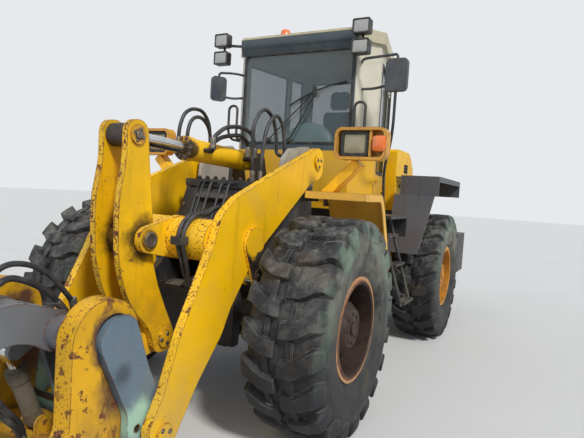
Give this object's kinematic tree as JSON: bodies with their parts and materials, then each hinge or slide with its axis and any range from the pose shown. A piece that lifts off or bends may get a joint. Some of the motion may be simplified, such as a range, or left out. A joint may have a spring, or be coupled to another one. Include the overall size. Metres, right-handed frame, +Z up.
{
  "type": "wheel loader",
  "caption": "Articulated wheel loader with bent boom arms, a two-plate bellcrank, quick coupler and log fork with a clamp, hollow cab with door, and large lugged tyres.",
  "frame": {"origin": "on the ground under the middle of the machine's box", "axes": "+X towards the fork, +Y to the machine's left, +Z up"},
  "size_m": [7.4, 2.56, 3.31],
  "materials": {
    "yellow_paint": "chipped gloss paint",
    "dark_paint": "dusty satin paint",
    "grey_paint": "worn satin paint",
    "fender_steel": "bare dull sheet",
    "cream_paint": "satin paint",
    "rim_rust": "rusty worn paint",
    "tyre_rubber": "dusty",
    "rod_chrome": "polished",
    "worn_steel": "worn",
    "cast_weight": "painted casting",
    "black_plastic": "moulded",
    "seat_fabric": "woven",
    "hose_rubber": "dusty",
    "window_glass": "tinted"
  },
  "bodies": {
    "rear_frame": {"rear_frame": "dark_paint", "bulkhead": "dark_paint", "rear_rails": "dark_paint", "rear_members": "dark_paint", "rear_axle": "dark_paint", "engine_block": "dark_paint", "counterweight": "cast_weight", "hood": "yellow_paint", "grilles": "dark_paint", "exhaust": "worn_steel", "rear_fenders": "fender_steel", "ladders": "dark_paint", "side_boxes": "yellow_paint", "cab_mounts": "dark_paint", "cab_shell": "cream_paint", "cab_roof": "cream_paint", "cab_glass": "window_glass", "seat": "seat_fabric", "console": "black_plastic", "mirrors": "black_plastic", "roof_lamps": "black_plastic"},
    "front_frame": {"front_frame": "dark_paint", "front_plates": "dark_paint", "frame_fittings": "dark_paint", "front_axle": "dark_paint", "front_fenders": "yellow_paint", "headlights": "yellow_paint", "tower_pipes": "hose_rubber"},
    "boom": {"boom": "yellow_paint", "boom_pipes": "dark_paint"},
    "bellcrank": {"bellcrank": "yellow_paint"},
    "tilt_link": {"tilt_link": "yellow_paint"},
    "tool": {"coupler": "grey_paint", "fork_frame": "yellow_paint", "tool_hoses": "hose_rubber"},
    "clamp": {"clamp": "dark_paint", "clamp_lugs": "dark_paint"},
    "clamp_barrel": {"clamp_barrel": "yellow_paint"},
    "clamp_rod": {"clamp_rod": "rod_chrome"},
    "tilt_barrel": {"tilt_barrel": "yellow_paint", "tilt_hoses": "hose_rubber"},
    "tilt_rod": {"tilt_rod": "rod_chrome"},
    "cab_door": {"cab_door": "cream_paint", "door_glass": "window_glass"},
    "lift_barrel_left": {"lift_barrel_left": "dark_paint"},
    "lift_rod_left": {"lift_rod_left": "rod_chrome"},
    "steer_barrel_left": {"steer_barrel_left": "dark_paint"},
    "steer_rod_left": {"steer_rod_left": "rod_chrome"},
    "wheel_front_left": {"tyre_front_left": "tyre_rubber", "rim_front_left": "rim_rust"},
    "wheel_rear_left": {"tyre_rear_left": "tyre_rubber", "rim_rear_left": "rim_rust"},
    "lift_barrel_right": {"lift_barrel_right": "dark_paint"},
    "lift_rod_right": {"lift_rod_right": "rod_chrome"},
    "steer_barrel_right": {"steer_barrel_right": "dark_paint"},
    "steer_rod_right": {"steer_rod_right": "rod_chrome"},
    "wheel_front_right": {"tyre_front_right": "tyre_rubber", "rim_front_right": "rim_rust"},
    "wheel_rear_right": {"tyre_rear_right": "tyre_rubber", "rim_rear_right": "rim_rust"}
  },
  "joints": [
    {"name": "steering", "type": "hinge", "parent": "rear_frame", "child": "front_frame", "pos_m": [-0.35, 0, 0.76], "axis": [0, 0, 1], "range_deg": [-35, 35]},
    {"name": "steer_swing_left", "type": "hinge", "parent": "rear_frame", "child": "steer_barrel_left", "pos_m": [-1.05, 0.43, 0.76], "axis": [0, 0, 1], "range_deg": [-5.82, 5.82]},
    {"name": "steer_stroke_left", "type": "slide", "parent": "steer_barrel_left", "child": "steer_rod_left", "axis": [0.9901, -0.1407, 0], "range_m": [-0.19671, 0.19671]},
    {"name": "steer_swing_right", "type": "hinge", "parent": "rear_frame", "child": "steer_barrel_right", "pos_m": [-1.05, -0.43, 0.76], "axis": [0, 0, 1], "range_deg": [-5.82, 5.82]},
    {"name": "steer_stroke_right", "type": "slide", "parent": "steer_barrel_right", "child": "steer_rod_right", "axis": [0.9901, 0.1407, 0], "range_m": [-0.19671, 0.19671]},
    {"name": "boom_lift", "type": "hinge", "parent": "front_frame", "child": "boom", "pos_m": [0.475, 0, 1.9], "axis": [0, -1, 0], "range_deg": [0, 86]},
    {"name": "lift_swing_left", "type": "hinge", "parent": "front_frame", "child": "lift_barrel_left", "pos_m": [0.015, 0.51, 0.78], "axis": [0, -1, 0], "range_deg": [0, 44.66]},
    {"name": "lift_stroke_left", "type": "slide", "parent": "lift_barrel_left", "child": "lift_rod_left", "axis": [0.982, 0, 0.1891], "range_m": [0, 1.03258]},
    {"name": "lift_swing_right", "type": "hinge", "parent": "front_frame", "child": "lift_barrel_right", "pos_m": [0.015, -0.51, 0.78], "axis": [0, -1, 0], "range_deg": [0, 44.66]},
    {"name": "lift_stroke_right", "type": "slide", "parent": "lift_barrel_right", "child": "lift_rod_right", "axis": [0.982, 0, 0.1891], "range_m": [0, 1.03258]},
    {"name": "tool_tilt", "type": "hinge", "parent": "boom", "child": "tool", "pos_m": [2.24, 0, 0.262], "axis": [0, -1, 0], "range_deg": [-120, 30]},
    {"name": "bellcrank_turn", "type": "hinge", "parent": "boom", "child": "bellcrank", "pos_m": [2.035, 0, 1.29], "axis": [0, -1, 0], "range_deg": [-5.54, 22.18]},
    {"name": "link_turn", "type": "hinge", "parent": "tool", "child": "tilt_link", "pos_m": [2.29, 0, 0.52], "axis": [0, -1, 0], "range_deg": [-23.55, 94.19]},
    {"name": "tilt_swing", "type": "hinge", "parent": "front_frame", "child": "tilt_barrel", "pos_m": [0.73, 0, 1.872], "axis": [0, -1, 0], "range_deg": [0, 95.39]},
    {"name": "tilt_stroke", "type": "slide", "parent": "tilt_barrel", "child": "tilt_rod", "axis": [0.9994, 0, 0.0346], "range_m": [-0.24351, 0.06088]},
    {"name": "clamp_open", "type": "hinge", "parent": "tool", "child": "clamp", "pos_m": [2.7, 0, 0.885], "axis": [0, -1, 0], "range_deg": [0, 60]},
    {"name": "clamp_swing", "type": "hinge", "parent": "tool", "child": "clamp_barrel", "pos_m": [2.635, 0, 0.345], "axis": [0, -1, 0], "range_deg": [0, 0.569]},
    {"name": "clamp_stroke", "type": "slide", "parent": "clamp_barrel", "child": "clamp_rod", "axis": [0.3619, 0, 0.9322], "range_m": [0, 0.15536]},
    {"name": "door_open", "type": "hinge", "parent": "rear_frame", "child": "cab_door", "pos_m": [-1.02748, 0.64708, 0.76], "axis": [0, 0, 1], "range_deg": [0, 90]},
    {"name": "wheel_front_left", "type": "hinge", "parent": "front_frame", "child": "wheel_front_left", "pos_m": [1.165, 1.02, 0.742], "axis": [0, 1, 0], "continuous": true},
    {"name": "wheel_front_right", "type": "hinge", "parent": "front_frame", "child": "wheel_front_right", "pos_m": [1.165, -1.02, 0.742], "axis": [0, 1, 0], "continuous": true},
    {"name": "wheel_rear_left", "type": "hinge", "parent": "rear_frame", "child": "wheel_rear_left", "pos_m": [-1.865, 1.02, 0.742], "axis": [0, 1, 0], "continuous": true},
    {"name": "wheel_rear_right", "type": "hinge", "parent": "rear_frame", "child": "wheel_rear_right", "pos_m": [-1.865, -1.02, 0.742], "axis": [0, 1, 0], "continuous": true}
  ],
  "couplings": [
    {"joint": "steer_swing_left", "follows": "steering", "ratio": 0.16295},
    {"joint": "steer_stroke_left", "follows": "steering", "m_per_rad": -0.31571},
    {"joint": "steer_swing_right", "follows": "steering", "ratio": 0.16295},
    {"joint": "steer_stroke_right", "follows": "steering", "m_per_rad": 0.31571},
    {"joint": "lift_swing_left", "follows": "boom_lift", "ratio": 0.5091},
    {"joint": "lift_stroke_left", "follows": "boom_lift", "m_per_rad": 0.67445},
    {"joint": "lift_swing_right", "follows": "boom_lift", "ratio": 0.5091},
    {"joint": "lift_stroke_right", "follows": "boom_lift", "m_per_rad": 0.67445},
    {"joint": "bellcrank_turn", "follows": "tool_tilt", "ratio": -0.1812},
    {"joint": "link_turn", "follows": "tool_tilt", "ratio": -0.7695},
    {"joint": "tilt_swing", "follows": "boom_lift", "ratio": 1.0875},
    {"joint": "tilt_stroke", "follows": "tool_tilt", "m_per_rad": 0.11399},
    {"joint": "clamp_swing", "follows": "clamp_open", "ratio": 0.009298},
    {"joint": "clamp_stroke", "follows": "clamp_open", "m_per_rad": 0.14545}
  ]
}
